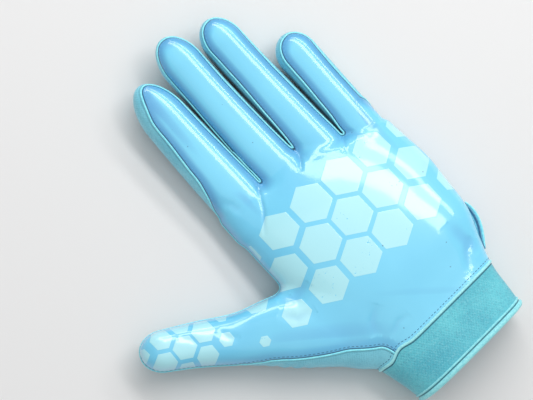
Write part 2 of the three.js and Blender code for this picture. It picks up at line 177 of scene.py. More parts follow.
# How high the palm seam runs on the sides of the fingers, in parts of SEAM_HALF_HEIGHT
FINGER_SEAM_ROWS = np.array([
    # share of the reach; thumb sides: index, middle, ring with little; then all the other sides
    (-0.75, 0.33, 0.62, 0.62, 0.62),
    (-0.30, 0.05, 0.62, 0.62, 0.62),
    (-0.08, 0.05, 0.62, 0.62, 0.62),
    (0.04, 0.55, 0.60, 0.64, 0.64),
    (0.16, 0.77, 0.52, 0.70, 0.68),
    (0.32, 0.84, 0.50, 0.72, 0.70),
    (0.62, 0.91, 0.50, 0.73, 0.70),
    (0.84, 0.86, 0.48, 0.66, 0.60),
    (0.94, 0.62, 0.42, 0.52, 0.48),
    (1.0, 0.38, 0.34, 0.38, 0.34),
])
THUMB_SIDE_COLUMN = [1, 2, 3, 3]
OTHER_SIDE_COLUMN = 4


def smooth_table(rows, column, at):
    """Hermite curve through a column of a table."""
    xs, ys = rows[:, 0], rows[:, column]
    slopes = np.gradient(ys, xs)
    at = np.clip(at, xs[0], xs[-1])
    i = np.clip(np.searchsorted(xs, at) - 1, 0, len(xs) - 2)
    step = xs[i + 1] - xs[i]
    t = (at - xs[i]) / step
    h00, h10 = 2 * t**3 - 3 * t**2 + 1, t**3 - 2 * t**2 + t
    h01, h11 = -2 * t**3 + 3 * t**2, t**3 - t**2
    return h00 * ys[i] + h10 * step * slopes[i] + h01 * ys[i + 1] + h11 * step * slopes[i + 1]


def smooth_min(a, b, k):
    h = np.clip(0.5 + 0.5 * (b - a) / k, 0, 1)
    return b * (1 - h) + a * h - k * h * (1 - h)


def smooth_max(a, b, k):
    return -smooth_min(-a, -b, k)


def rounded(u, w, a, b, power, *ends):
    """Signed distance, nearly, to a superellipse tube with round ends. ends are (overshoot, length)."""
    r = (np.abs(u / a) ** power + np.abs(w / b) ** power) ** (2 / power)
    span = u**2 + w**2
    for over, length in ends:
        r = r + (over / length) ** 2
        span = span + over**2
    r = np.sqrt(r) + TINY
    return np.sqrt(span) * (1 - 1 / r)


def smooth_step(t):
    t = np.clip(t, 0, 1)
    return t * t * (3 - 2 * t)


def web_y(x):
    return WEB_Y + KNUCKLE_SKEW * x


def finger_field(p, f):
    past = p[:, 1] - web_y(f["x"])
    share = np.clip(past / f["reach"], 0, 1)
    b = f["height"] / 2 * (1 - HEIGHT_TAPER * share)
    cx = f["x"] + f["lean"] * share
    cz = f["height"] / 2 - DIGIT_SINK + FINGER_CURL * (np.maximum(past, 0) / LONGEST_REACH) ** 2
    # Near their roots the fronts of two fingers press together.
    front = smooth_step((p[:, 2] - cz - PRESS_START) / PRESS_RISE)
    beside = np.where(p[:, 0] < cx, f["closer"][0], f["closer"][1]) * front
    swell = 1 + ROOT_SWELL * beside * np.clip(1 - past / ROOT_SWELL_REACH, 0, 1)
    a = f["width"] / 2 * swell * (1 - f["taper"] * share**2)
    over = np.maximum(past - (f["reach"] - f["tip"]), 0)
    back = np.maximum(FINGER_START - past, 0)
    ends = ((over, f["tip"]), (back, FINGER_START_ROUND))
    return rounded(p[:, 0] - cx, p[:, 2] - cz, a, b, DIGIT_POWER, *ends)


def body_along(p):
    along = p[:, 1].copy()
    for _ in range(SKEW_ROUNDS):
        share = np.clip((along - CUFF_LENGTH) / PALM_LENGTH, 0, 1)
        skew = CUFF_SKEW + (KNUCKLE_SKEW - CUFF_SKEW) * share
        along = p[:, 1] - skew * p[:, 0]
    return along


def web_bow(x):
    """The palm reaches further up between the middle and the ring finger."""
    off = np.clip((x - WEB_BOW_X) / WEB_BOW_HALF_WIDTH, -1, 1)
    return WEB_BOW * (1 + np.cos(math.pi * off)) / 2


def body_field(p):
    along = body_along(p)
    left, right, top, bottom = (smooth_table(BODY_ROWS, c, along) for c in (1, 2, 3, 4))
    a, b = (right - left) / 2, (top - bottom) / 2
    u, w = p[:, 0] - (left + right) / 2, p[:, 2] - (top + bottom) / 2
    over = np.maximum(along - (WEB_Y - PALM_END) - web_bow(p[:, 0]), 0)
    # The half next to the little finger lies flatter and turns down more sharply at its edge.
    before_knuckles = smooth_step((FLATTER_TO - along) / FLATTER_FALL)
    past_cuff = smooth_step((along - FLATTER_FROM) / FLATTER_RISE)
    flatter = FLATTER_LEAST + FLATTER_MORE * before_knuckles * past_cuff
    power = PALM_POWER + flatter * smooth_step(0.5 + u / FLATTER_BLEND)
    return rounded(u, w, a, b, power, (over, PALM_END_ROUND))


def thumb_place(p):
    """Share along the thumb, and the distance to the index finger's side of its axis."""
    rel = p[:, :2] - THUMB_ROOT
    chord = np.array([math.cos(THUMB_ANGLE), math.sin(THUMB_ANGLE)])
    inward = np.array([math.sin(THUMB_ANGLE), -math.cos(THUMB_ANGLE)])
    share = rel @ chord / THUMB_LENGTH
    bow = THUMB_LENGTH * THUMB_BEND * 0.5 * share * (1 - share)
    return share, rel @ inward - bow


def thumb_curl(share):
    return THUMB_CURL * np.maximum(share, 0) ** 2


def thumb_field(p):
    share, u = thumb_place(p)
    outside, inside, tall = (smooth_table(THUMB_ROWS, c, share) for c in (1, 2, 3))
    a = THUMB_WIDTH / 2 * np.where(u > 0, inside, outside)
    b = THUMB_HEIGHT / 2 * tall
    w = p[:, 2] - (b + (thumb_curl(share) - DIGIT_SINK))
    over = np.maximum(share - (1 - THUMB_TIP), 0) * THUMB_LENGTH
    back = np.maximum(THUMB_START - share, 0) * THUMB_LENGTH
    ends = ((over, THUMB_TIP * THUMB_LENGTH), (back, THUMB_START_ROUND))
    return rounded(u, w, a, b, DIGIT_POWER, *ends)


# Folds and dents: three places in plan, half the width and the depth, all in millimetres
FOLDS = [
    ((-28.4, 136.0), (-35.8, 123.2), (-44.5, 113.0), 1.0, 0.8),
    ((-3.0, 133.0), (-5.5, 128.5), (-9.5, 125.0), 1.2, 0.7),
    ((20.5, 126.0), (18.0, 121.5), (13.5, 118.0), 1.2, 0.6),
    ((22.0, 127.5), (25.5, 121.0), (30.5, 116.5), 1.6, 0.5),
    ((-31.5, 33.0), (-24.0, 37.0), (-17.0, 36.5), 2.2, 0.5),
    ((-37.0, 39.0), (-33.0, 46.0), (-26.0, 51.0), 2.8, 0.6),
    ((20.0, 32.5), (25.0, 40.0), (33.0, 45.0), 2.4, 0.7),
    ((28.0, 58.0), (29.0, 47.0), (32.0, 36.0), 4.2, 0.85),
    ((-62.0, 84.0), (-54.0, 80.0), (-44.0, 82.0), 3.4, 0.8),
    ((-66.0, 80.0), (-60.0, 72.0), (-50.0, 69.0), 3.0, 0.6),
    ((-94.0, 94.0), (-92.0, 88.0), (-88.0, 83.0), 2.2, 0.45),
    ((-112.0, 104.0), (-107.0, 99.0), (-105.0, 94.0), 2.0, 0.4),
    ((-50.0, 141.0), (-46.0, 136.0), (-44.0, 128.0), 2.4, 0.5),
]
# How far a fold reaches from its middle, how it fades to its ends, and from what height on folds show
FOLD_REACH = 30.0
FOLD_FADE = 0.6
FOLD_START_Z, FOLD_RISE = 12.0, 6.0
# Gathers in the strip below the thumb: how far apart, how deep, from and to as shares of its length, how
# soft their ends are, how they slant, and how their depth varies along the strip
GATHER_PITCH, GATHER_DEPTH, GATHER_FROM, GATHER_TO = 6.5, 0.35, 0.1, 0.62
GATHER_SOFT, GATHER_SLANT, GATHER_BEAT, GATHER_VARY = 0.15, 0.25, 23.0, 0.4
GATHER_OUTWARD, GATHER_OUTWARD_RISE = 8.0, 5.0
GATHER_TOP_Z, GATHER_TOP_FALL = 22.0, 6.0


def fold_field(p):
    total = np.zeros(len(p))
    for *places, width, depth in FOLDS:
        points = np.array(places)
        near = np.linalg.norm(p[:, :2] - points[1], axis=1) < FOLD_REACH
        q = p[near, :2]
        nearest = np.full(len(q), np.inf)
        along = np.zeros(len(q))
        run = 0.0
        for start, end in zip(points[:-1], points[1:]):
            step = end - start
            size = np.linalg.norm(step)
            t = np.clip((q - start) @ step / size**2, 0, 1)
            gap = np.linalg.norm(q - start - t[:, None] * step, axis=1)
            better = gap < nearest
            nearest = np.where(better, gap, nearest)
            along = np.where(better, run + t * size, along)
            run += size
        fade = np.sin(np.clip(along / run, 0, 1) * math.pi) ** FOLD_FADE
        total[near] += depth * fade * np.exp(-((nearest / width) ** 2))
    total *= np.clip((p[:, 2] - FOLD_START_Z) / FOLD_RISE, 0, 1)
    share, inward = thumb_place(p)
    window = smooth_step((share - GATHER_FROM) / GATHER_SOFT) * smooth_step((GATHER_TO - share) / GATHER_SOFT)
    window *= smooth_step((-inward - GATHER_OUTWARD) / GATHER_OUTWARD_RISE)
    window *= smooth_step((GATHER_TOP_Z - p[:, 2]) / GATHER_TOP_FALL)
    wave = np.sin(2 * math.pi * (share * THUMB_LENGTH + GATHER_SLANT * p[:, 2]) / GATHER_PITCH)
    varied = 1 - GATHER_VARY + GATHER_VARY * np.sin(share * GATHER_BEAT)
    return total + GATHER_DEPTH * window * wave * varied


def glove_field(p):
    body = body_field(p)
    parts = [smooth_min(body, finger_field(p, f), FINGER_BLEND) for f in FINGERS]
    parts.append(smooth_min(body, thumb_field(p), THUMB_BLEND))
    field = parts[0]
    for part in parts[1:]:
        field = smooth_min(field, part, DIGIT_BLEND)
    field = smooth_max(field, FLOOR_CLEARANCE - p[:, 2], FLOOR_BLEND)
    return field + fold_field(p)


def gradient(field, p, step=0.05):
    out = np.empty_like(p)
    for axis in range(3):
        move = np.zeros(3)
        move[axis] = step
        out[:, axis] = (field(p + move) - field(p - move)) / (2 * step)
    return out


def chunked(field, p):
    return np.concatenate([field(p[i:i + CHUNK]) for i in range(0, len(p), CHUNK)])


def surface_nets(field, low, high, step):
    axes = [np.arange(low[i], high[i] + step, step) for i in range(3)]
    shape = tuple(len(a) for a in axes)
    mesh = np.stack(np.meshgrid(*axes, indexing="ij"), axis=-1).reshape(-1, 3)
    value = chunked(field, mesh).reshape(shape)
    inside = value < 0
    corners = [(i, j, k) for i in (0, 1) for j in (0, 1) for k in (0, 1)]
    size = tuple(s - 1 for s in shape)

    def at(c, array):
        return array[c[0]:c[0] + size[0], c[1]:c[1] + size[1], c[2]:c[2] + size[2]]

    count = sum(at(c, inside).astype(int) for c in corners)
    active = (count > 0) & (count < 8)
    cells = np.argwhere(active)
    index = -np.ones(size, dtype=int)
    index[active] = np.arange(len(cells))
    total, hits = np.zeros((len(cells), 3)), np.zeros(len(cells))
    for a in range(8):
        for b in range(a + 1, 8):
            ca, cb = np.array(corners[a]), np.array(corners[b])
            if np.abs(ca - cb).sum() != 1:
                continue
            va = value[tuple((cells + ca).T)]
            vb = value[tuple((cells + cb).T)]
            cross = (va < 0) != (vb < 0)
            t = np.where(cross, va / np.where(cross, va - vb, 1), 0)
            point = cells + ca + (cb - ca) * t[:, None]
            total += point * cross[:, None]
            hits += cross
    verts = total / hits[:, None] * step + np.array([a[0] for a in axes])
    quads = []
    for axis in range(3):
        u, v = (axis + 1) % 3, (axis + 2) % 3
        first = [slice(None)] * 3
        second = [slice(None)] * 3
        first[axis], second[axis] = slice(0, -1), slice(1, None)
        change = inside[tuple(first)] != inside[tuple(second)]
        where = np.argwhere(change)
        where = where[(where[:, u] > 0) & (where[:, v] > 0)]
        where = where[(where[:, u] < size[u]) & (where[:, v] < size[v])]
        du, dv = np.zeros(3, int), np.zeros(3, int)
        du[u], dv[v] = 1, 1
        ring = [index[tuple((where - off).T)] for off in (du + dv, dv, 0 * du, du)]
        quad = np.stack(ring, axis=1)
        start_inside = inside[tuple(where.T)]
        quad[~start_inside] = quad[~start_inside][:, ::-1]
        quads.append(quad)
    return verts, np.concatenate(quads)


def project(field, p, rounds):
    for _ in range(rounds):
        g = gradient(field, p)
        p = p - g * (field(p) / np.maximum((g**2).sum(1), 1e-4))[:, None]
    return p


def relax(field, verts, quads, rounds):
    edges = np.unique(np.sort(np.concatenate([quads[:, [i, (i + 1) % 4]] for i in range(4)]), axis=1), axis=0)
    for _ in range(rounds):
        total, hits = np.zeros_like(verts), np.zeros(len(verts))
        for a, b in ((0, 1), (1, 0)):
            np.add.at(total, edges[:, a], verts[edges[:, b]])
            np.add.at(hits, edges[:, a], 1)
        verts = project(field, 0.5 * verts + 0.5 * total / hits[:, None], 1)
    return project(field, verts, 2)


def triangles_of(verts, quads):
    d1 = np.linalg.norm(verts[quads[:, 0]] - verts[quads[:, 2]], axis=1)
    d2 = np.linalg.norm(verts[quads[:, 1]] - verts[quads[:, 3]], axis=1)
    q, s = quads[d1 <= d2], quads[d1 > d2]
    return np.concatenate([q[:, [0, 1, 2]], q[:, [0, 2, 3]], s[:, [0, 1, 3]], s[:, [1, 2, 3]]])


def clip(verts, tris, value):
    """The part of a triangle mesh where value > 0, cut exactly along value = 0. Returns new arrays."""
    value = np.where(np.abs(value) < 1e-4, 1e-4, value)
    keep = value > 0
    inside = keep[tris].sum(1)
    out = [tris[inside == 3]]
    extra, made = [], {}

    def cut(i, j):
        key = (min(i, j), max(i, j))
        if key not in made:
            t = value[i] / (value[i] - value[j])
            made[key] = len(verts) + len(extra)
            extra.append(verts[i] + t * (verts[j] - verts[i]))
        return made[key]

    cutting = []
    for tri in tris[(inside == 1) | (inside == 2)]:
        ring = []
        for k in range(3):
            i, j = int(tri[k]), int(tri[(k + 1) % 3])
            if keep[i]:
                ring.append(i)
            if keep[i] != keep[j]:
                ring.append(cut(i, j))
        for k in range(1, len(ring) - 1):
            cutting.append((ring[0], ring[k], ring[k + 1]))
    if cutting:
        out.append(np.array(cutting, dtype=int))
    tris = np.concatenate(out)
    verts = np.concatenate([verts, np.array(extra)]) if extra else verts
    used, flat = np.unique(tris, return_inverse=True)
    return verts[used], flat.reshape(-1, 3)


# Seam functions: each is above zero on one side of its seam

def past_web(p):
    norm = math.hypot(1, KNUCKLE_SKEW)
    return (p[:, 1] - WEB_Y - KNUCKLE_SKEW * p[:, 0]) / norm


def axis_height(past):
    return SEAM_LEVEL_Z + FINGER_CURL * (np.maximum(past, 0) / LONGEST_REACH) ** 2


def finger_level(p, past):
    """The palm seam's level, and how far along its finger a point lies."""
    level, share = None, None
    for i, f in enumerate(FINGERS):
        here = past / f["reach"]
        u = p[:, 0] - f["x"] - f["lean"] * np.clip(here, 0, 1)
        thumb_side = smooth_step(0.5 - u / FINGER_SIDES_BLEND)
        a = smooth_table(FINGER_SEAM_ROWS, THUMB_SIDE_COLUMN[i], here)
        b = smooth_table(FINGER_SEAM_ROWS, OTHER_SIDE_COLUMN, here)
        own = b + (a - b) * thumb_side
        if i == 0:
            level, share = own, here
            continue
        before = FINGERS[i - 1]
        limit = before["x"] + (before["width"] + FINGER_GAP) / 2
        limit = limit + GAP_LEAN * np.maximum(past, 0) / LONGEST_REACH
        t = smooth_step(0.5 + (p[:, 0] - limit) / SLIT_BLEND)
        level, share = level + (own - level) * t, share + (here - share) * t
    return level, np.clip(share, 0, 1)


def on_hand_or_thumb(height, on_thumb, inward):
    """A seam's height: that of the hand, or near the thumb the thumb's."""
    mix = smooth_step((THUMB_SEAM_INWARD - inward) / THUMB_SEAM_BLEND)
    return height * (1 - mix) + on_thumb * mix


def palm_seam(p):
    past = past_web(p)
    level, share = finger_level(p, past)
    height = axis_height(past) + level * SEAM_HALF_HEIGHT * (1 - HEIGHT_TAPER * share)
    low = axis_height(past) + BACK_SEAM * SEAM_HALF_HEIGHT
    drop = np.clip((EDGE_STRIP_START - past) / EDGE_STRIP_TAPER, 0, 1)
    little = smooth_step((p[:, 0] - FINGERS[3]["x"]) / FINGER_SIDES_BLEND)
    height = height + (low - height) * drop * little
    share, inward = thumb_place(p)
    side = smooth_step(0.5 + inward / THUMB_SIDES_BLEND)
    outside, inside = (smooth_table(THUMB_SEAM_ROWS, c, share) for c in (1, 2))
    on_thumb = outside * (1 - side) + inside * side
    return p[:, 2] - on_hand_or_thumb(height, on_thumb, inward)


def back_seam(p):
    height = axis_height(past_web(p)) + BACK_SEAM * SEAM_HALF_HEIGHT
    share, inward = thumb_place(p)
    return p[:, 2] - on_hand_or_thumb(height, BACK_SEAM_Z + thumb_curl(share), inward)


def past_cuff_line(p, shift):
    return (p[:, 1] - CUFF_SKEW * p[:, 0] - shift) / math.hypot(1, CUFF_SKEW)


def cuff_seam(p):
    """The seam is a little pulled up where the strip below the thumb joins it."""
    front = smooth_step((p[:, 2] - CUFF_PULL_Z) / CUFF_PULL_RISE)
    pull = sum(far * np.exp(-(((p[:, 0] - x) / width) ** 2)) for far, x, width in CUFF_PULLS)
    return past_cuff_line(p, CUFF_LENGTH + front * pull)


def mouth(p):
    """The mouth draws back a little down the sides of the cuff."""
    down = smooth_step((MOUTH_DRAW_TOP - p[:, 2]) / (MOUTH_DRAW_TOP - MOUTH_DRAW_BOTTOM))
    return past_cuff_line(p, MOUTH_DRAW * down)


def tip_x(i):
    return FINGERS[i]["x"] + FINGERS[i]["lean"]


def unit(vectors):
    return vectors / np.maximum(np.linalg.norm(vectors, axis=1), TINY)[:, None]


def surface_normal(p):
    return unit(gradient(glove_field, p))


def surface_distance(value, p, normal):
    """A seam function's value as a distance along the surface."""
    slope = gradient(value, p)
    tangent = slope - (slope * normal).sum(1)[:, None] * normal
    return value(p) / np.maximum(np.linalg.norm(tangent, axis=1), LEAST_SLOPE)


def build_shell():
    verts, quads = surface_nets(glove_field, NET_LOW, NET_HIGH, GRID)
    verts = project(glove_field, verts, 2)
    verts = relax(glove_field, verts, quads, RELAX_ROUNDS)
    return verts, triangles_of(verts, quads)


def boundary_edges(tris):
    edges = np.concatenate([tris[:, [i, (i + 1) % 3]] for i in range(3)])
    key = np.sort(edges, axis=1)
    _, first, count = np.unique(key, axis=0, return_index=True, return_counts=True)
    return edges[first[count == 1]]


def to_scene(p):
    return (p + SHIFT) * MM


def make_object(name, verts, faces, material, normals=None, attributes=None):
    verts = np.stack([verts[:, 0], verts[:, 1], np.maximum(verts[:, 2], FLOOR_CLEARANCE)], axis=1)
    mesh = bpy.data.meshes.new(name)
    mesh.from_pydata([tuple(v) for v in to_scene(verts)], [], [tuple(int(i) for i in f) for f in faces])
    mesh.validate()
    mesh.polygons.foreach_set("use_smooth", [True] * len(mesh.polygons))
    if normals is not None:
        mesh.normals_split_custom_set_from_vertices([tuple(n) for n in normals])
    for key, values in (attributes or {}).items():
        layer = mesh.attributes.new(key, "FLOAT", "POINT")
        layer.data.foreach_set("value", np.asarray(values, dtype=np.float32))
    mesh.update()
    obj = bpy.data.objects.new(name, mesh)
    bpy.context.scene.collection.objects.link(obj)
    mesh.materials.append(material)
    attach(obj, "root")
    return obj


def slit_gap(p):
    """The distance to the finger beside the nearest one."""
    return np.sort(np.stack([finger_field(p, f) for f in FINGERS]), axis=0)[1]


def cloth(name, verts, tris, thickness, material):
    """A panel of the shell with its own thickness, closed round its edges."""
    normal = surface_normal(verts)
    inner = verts - normal * thickness
    count = len(verts)
    rim = boundary_edges(tris)
    walls = np.concatenate([
        np.stack([rim[:, 1], rim[:, 0], rim[:, 0] + count], axis=1),
        np.stack([rim[:, 1], rim[:, 0] + count, rim[:, 1] + count], axis=1),
    ])
    faces = np.concatenate([tris, tris[:, ::-1] + count, walls])
    fields = {
        "seam": surface_distance(palm_seam, verts, normal),
        "back": surface_distance(back_seam, verts, normal),
        "wrist": cuff_seam(verts),
        "gap": slit_gap(verts),
        "fold": fold_field(verts),
    }
    attributes = {key: np.concatenate([values, values]) for key, values in fields.items()}
    return make_object(name, np.concatenate([verts, inner]), faces, material,
                       np.concatenate([normal, -normal]), attributes)


# Lines along the surface, and what is sewn along them

# How often a line is smoothed, the step for the slope of the surface along it, the fewest points of a
# line that counts, the step between the rings of a welt, and the sides of a ring
SMOOTH_ROUNDS = 2
FRAME_STEP = 0.3
SHORTEST_LINE = 20
WELT_STEP = 1.0
WELT_SIDES = 8


def isolines(verts, tris, value):
    """Ordered point lists where value is 0 on a triangle mesh, each with whether it is a loop."""
    value = np.where(np.abs(value) < TINY, TINY, value)
    sign = value > 0
    crossing = tris[(sign[tris].sum(1) % 3) != 0]
    points, links = {}, {}
    for tri in crossing:
        ends = []
        for k in range(3):
            i, j = int(tri[k]), int(tri[(k + 1) % 3])
            if sign[i] != sign[j]:
                key = (min(i, j), max(i, j))
                t = value[i] / (value[i] - value[j])
                points[key] = verts[i] + t * (verts[j] - verts[i])
                ends.append(key)
        links.setdefault(ends[0], []).append(ends[1])
        links.setdefault(ends[1], []).append(ends[0])
    lines, seen = [], set()
    for start in sorted(links, key=lambda k: (len(links[k]), k)):
        if start in seen:
            continue
        chain, here = [], start
        while here is not None:
            seen.add(here)
            chain.append(points[here])
            here = next((n for n in links[here] if n not in seen), None)
        if len(chain) > SHORTEST_LINE:
            lines.append((np.array(chain), len(links[start]) == 2))
    return lines


def resample(points, closed, step):
    if closed:
        points = np.vstack([points, points[:1]])
    for _ in range(SMOOTH_ROUNDS):
        inner = (points[:-2] + 2 * points[1:-1] + points[2:]) / 4
        points = np.vstack([points[:1], inner, points[-1:]])
    length = np.concatenate([[0], np.cumsum(np.linalg.norm(np.diff(points, axis=0), axis=1))])
    count = max(int(round(length[-1] / step)), 3)
    at = np.linspace(0, length[-1], count + 1)
    out = np.stack([np.interp(at, length, points[:, i]) for i in range(3)], axis=1)
    return out[:-1] if closed else out


def frames_along(points, closed):
    """Tangent, surface normal and sideways direction at each point."""
    if closed:
        tangent = np.roll(points, -1, axis=0) - np.roll(points, 1, axis=0)
    else:
        tangent = np.gradient(points, axis=0)
    tangent = unit(tangent)
    normal = gradient(glove_field, points, FRAME_STEP)
    normal = unit(normal - (normal * tangent).sum(1)[:, None] * tangent)
    return tangent, normal, np.cross(tangent, normal)


def tube_faces(rings, sides, closed=False):
    """Faces round a row of rings, in a loop or with a flat cap on each end."""
    faces = []
    for i in range(rings if closed else rings - 1):
        j = (i + 1) % rings
        for k in range(sides):
            m = (k + 1) % sides
            faces.append((i * sides + k, i * sides + m, j * sides + m, j * sides + k))
    if not closed:
        faces.append(tuple(range(sides - 1, -1, -1)))
        faces.append(tuple((rings - 1) * sides + k for k in range(sides)))
    return faces


def sweep(points, closed, profile):
    """Verts and faces of a profile, (sideways, outward) rows, carried along a line on the surface."""
    _, normal, side = frames_along(points, closed)
    profile = np.array(profile)
    verts = points[:, None] + side[:, None] * profile[None, :, :1] + normal[:, None] * profile[None, :, 1:]
    return verts.reshape(-1, 3), tube_faces(len(points), len(profile), closed)


def joined(parts):
    verts, faces, start = [], [], 0
    for v, f in parts:
        verts.append(v)
        faces += [tuple(i + start for i in face) for face in f]
        start += len(v)
    return np.concatenate(verts), faces


def ring_profile(wide, tall, sink):
    turns = [2 * math.pi * (k + 0.5) / WELT_SIDES for k in range(WELT_SIDES)]
    return [(wide * math.cos(t), tall * math.sin(t) - sink) for t in turns]


# The rings of one thread: places along it in parts of its length, and sizes in parts of its thickness
THREAD_RINGS = [(-0.5, 0.35), (-0.28, 0.9), (0.28, 0.9), (0.5, 0.35)]
THREAD_SIDES = 6
THREAD_SINK = 0.02


def stitch_run(points, closed, pitch, length, thick):
    """Small threads, one every pitch along a line."""
    spots = resample(points, closed, pitch / 2)
    tangent, normal, side = frames_along(spots, closed)
    turns = [2 * math.pi * k / THREAD_SIDES for k in range(THREAD_SIDES)]
    faces = tube_faces(len(THREAD_RINGS), THREAD_SIDES)
    parts = []
    for i in range(1, len(spots) - 1, 2):
        verts = []
        for along, size in THREAD_RINGS:
            for t in turns:
                verts.append(spots[i] + tangent[i] * along * length + side[i] * thick * size * math.cos(t)
                             + normal[i] * (thick * size * math.sin(t) - THREAD_SINK))
        parts.append((np.array(verts), faces))
    return joined(parts)


# Materials: small helpers for node graphs

# Sockets of a colour mix: the two colours and the result
MIX_A, MIX_B, MIX_RESULT = 6, 7, 2


class Expr:
    """A value socket with arithmetic that adds Math nodes."""

    def __init__(self, tree, socket):
        self.tree, self.socket = tree, socket

    def op(self, kind, *others):
        node = self.tree.nodes.new("ShaderNodeMath")
        node.operation = kind
        for slot, value in zip(node.inputs, (self, *others)):
            if isinstance(value, Expr):
                self.tree.links.new(value.socket, slot)
            else:
                slot.default_value = value
        return Expr(self.tree, node.outputs[0])

    def __add__(self, other):
        return self.op("ADD", other)

    def __sub__(self, other):
        return self.op("SUBTRACT", other)

    def __mul__(self, other):
        return self.op("MULTIPLY", other)

    def __truediv__(self, other):
        return self.op("DIVIDE", other)

    def abs(self):
        return self.op("ABSOLUTE")

    def min(self, other):
        return self.op("MINIMUM", other)

    def max(self, other):
        return self.op("MAXIMUM", other)

    def power(self, other):
        return self.op("POWER", other)

    def round(self):
        return self.op("ROUND")

    def below(self, other):
        return self.op("LESS_THAN", other)

    def sine(self):
        return self.op("SINE")

    def ramp(self, low, high):
        """0 at low, 1 at high, smooth between."""
        node = self.tree.nodes.new("ShaderNodeMapRange")
        node.interpolation_type = "SMOOTHSTEP"
        self.tree.links.new(self.socket, node.inputs["Value"])
        node.inputs["From Min"].default_value = low
        node.inputs["From Max"].default_value = high
        return Expr(self.tree, node.outputs["Result"])


class Paint:
    """One material with its main shader. x, y and z are millimetres in the model's own frame."""

    def __init__(self, name, **settings):
        self.material = bpy.data.materials.new(name)
        self.material.use_nodes = True
        self.tree = self.material.node_tree
        self.shader = self.tree.nodes["Principled BSDF"]
        for key, value in settings.items():
            self.shader.inputs[key.replace("_", " ")].default_value = value
        self.point = self.tree.nodes.new("ShaderNodeTexCoord").outputs["Object"]
        split = self.tree.nodes.new("ShaderNodeSeparateXYZ")
        self.tree.links.new(self.point, split.inputs[0])
        axes = [Expr(self.tree, split.outputs[i]) * PER_METRE - float(SHIFT[i]) for i in range(3)]
        self.x, self.y, self.z = axes
        self.height = None

    def attribute(self, name):
        node = self.tree.nodes.new("ShaderNodeAttribute")
        node.attribute_name = name
        return Expr(self.tree, node.outputs["Fac"])

    def noise(self, scale, detail, rough=0.5):
        node = self.tree.nodes.new("ShaderNodeTexNoise")
        node.inputs["Scale"].default_value = scale
        node.inputs["Detail"].default_value = detail
        node.inputs["Roughness"].default_value = rough
        self.tree.links.new(self.point, node.inputs["Vector"])
        return Expr(self.tree, node.outputs["Fac"])

    def cells(self, scale):
        node = self.tree.nodes.new("ShaderNodeTexVoronoi")
        node.inputs["Scale"].default_value = scale
        self.tree.links.new(self.point, node.inputs["Vector"])
        return Expr(self.tree, node.outputs["Distance"])

    def mix(self, factor, a, b):
        node = self.tree.nodes.new("ShaderNodeMix")
        node.data_type = "RGBA"
        self.tree.links.new(factor.socket, node.inputs["Factor"])
        for slot, value in ((MIX_A, a), (MIX_B, b)):
            if isinstance(value, tuple):
                node.inputs[slot].default_value = value
            else:
                self.tree.links.new(value, node.inputs[slot])
        return node.outputs[MIX_RESULT]

    def colour(self, socket):
        self.tree.links.new(socket, self.shader.inputs["Base Color"])

    def bump(self, height, distance, strength, coat=False):
        """Adds relief on top of the relief so far. distance is in metres."""
        node = self.tree.nodes.new("ShaderNodeBump")
        node.inputs["Strength"].default_value = strength
        node.inputs["Distance"].default_value = distance
        self.tree.links.new(height.socket, node.inputs["Height"])
        if self.height is not None:
            self.tree.links.new(self.height, node.inputs["Normal"])
        self.height = node.outputs[0]
        self.tree.links.new(self.height, self.shader.inputs["Normal"])
        if coat:
            self.tree.links.new(self.height, self.shader.inputs["Coat Normal"])


def linear(value):
    value = value / 255
    return value / 12.92 if value <= 0.04045 else ((value + 0.055) / 1.055) ** 2.4


def srgb(r, g, b):
    return (linear(r), linear(g), linear(b), 1.0)


# Colours that the paints lay over their base: print, specks and nap, and painted shade on the palm's edge, in
# its folds, in the seam grooves and in the slits between the fingers
PRINT_COLOUR = srgb(182, 243, 252)
SPECK_COLOUR = srgb(60, 110, 150)
PALM_EDGE_PAINTED_SHADE = srgb(72, 150, 212)
PALM_FOLD_PAINTED_SHADE = srgb(104, 176, 232)
PALM_GROOVE_PAINTED_SHADE = srgb(18, 80, 116)
NAP_LIGHT = srgb(176, 236, 242)
NAP_DARK = srgb(66, 150, 176)
KNIT_GROOVE_PAINTED_SHADE = srgb(24, 92, 116)
SLIT_PAINTED_SHADE = srgb(10, 44, 66)
HEM_GROOVE_PAINTED_SHADE = srgb(22, 96, 116)

# The printed hexagons on the palm and on the thumb, in millimetres
PALM_PRINT = dict(pitch=21.0, centre=(-6.0, 92.0), reach=66.0, low=58.0, high=112.0)
THUMB_PRINT = dict(pitch=12.5, centre=(-112.0, 98.0), reach=24.0, low=70.0, high=112.0)
# Sizes in parts of the pitch: at the centre, at most, and from none to whole; then the soft edge
HEX_CENTRE, HEX_MOST, HEX_NONE, HEX_WHOLE, HEX_SOFT = 0.56, 0.445, 0.12, 0.2, 0.006
HEX_SIDEWAYS = 0.6


def hexagons(paint, pitch, centre, reach, low, high):
    """Solid hexagons on a honeycomb that shrink away from a centre: 1 inside them, 0 outside.
    Only cells with their middle between low and high, in millimetres along the hand, are filled."""
    tall = math.sqrt(3)
    u = (paint.x - centre[0]) / pitch
    v = (paint.y - centre[1]) / (pitch * tall)
    best = None
    for offset in (0.0, 0.5):
        cu, cv = (u + offset).round() - offset, (v + offset).round() - offset
        du, dv = u - cu, (v - cv) * tall
        gap = du * du + dv * dv
        cell = (du, dv, cu, cv * tall, gap)
        if best is None:
            best = cell
            continue
        pick = best[4].below(gap)
        other = pick * -1.0 + 1.0
        best = tuple(a * pick + b * other for a, b in zip(best, cell))
    du, dv, cu, cv, _ = best
    hexagon = du.abs().max(du.abs() * 0.5 + dv.abs() * (tall / 2))
    far = (cu * cu * HEX_SIDEWAYS + cv * cv).power(0.5) * (pitch / reach)
    size = (far * -1.0 + 1.0).max(0.0).power(0.5) * HEX_CENTRE
    size = size.min(HEX_MOST) * size.ramp(HEX_NONE, HEX_WHOLE)
    held = cv.below((high - centre[1]) / pitch) * (cv * -1.0).below((centre[1] - low) / pitch)
    return (hexagon - size * held).ramp(HEX_SOFT, -HEX_SOFT)


